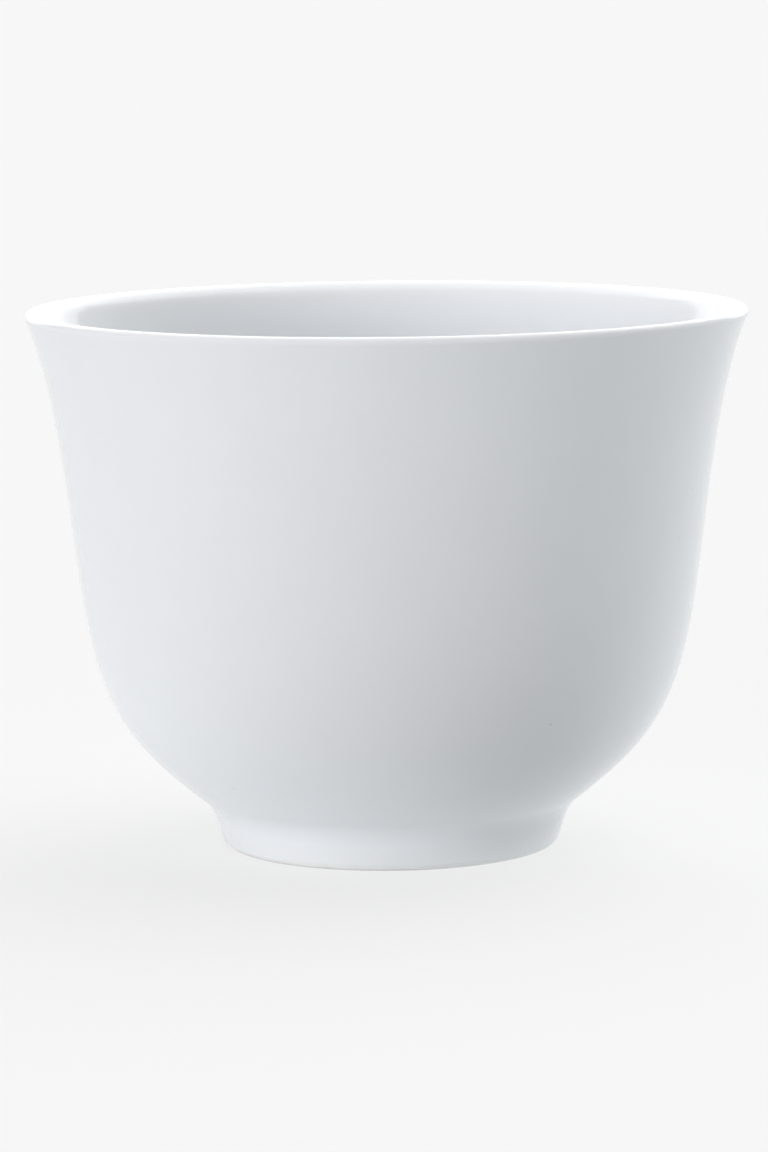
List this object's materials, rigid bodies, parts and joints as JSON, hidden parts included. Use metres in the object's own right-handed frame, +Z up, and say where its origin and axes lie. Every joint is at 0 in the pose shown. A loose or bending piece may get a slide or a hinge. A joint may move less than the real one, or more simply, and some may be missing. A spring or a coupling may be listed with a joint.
{
  "type": "chinese tea cup",
  "caption": "Handleless white porcelain tea cup with a flared, rounded lip, a nearly upright wall, a round belly and a glazed foot ring, for holding hot tea.",
  "frame": {"origin": "on the cup's axis, on the plane of the foot rim that it stands on", "axes": "+Z up along the cup's axis of revolution; X and Y are alike, because the cup is round"},
  "size_m": [0.09, 0.09, 0.0675],
  "materials": {
    "porcelain": "fired porcelain, bare and smooth-ground at the foot rim",
    "glaze": "glossy clear glaze over white porcelain"
  },
  "bodies": {
    "root": {"bowl": "porcelain", "foot_ring": "porcelain", "inner_glaze": "glaze", "outer_glaze": "glaze", "base_glaze": "glaze"}
  },
  "joints": []
}
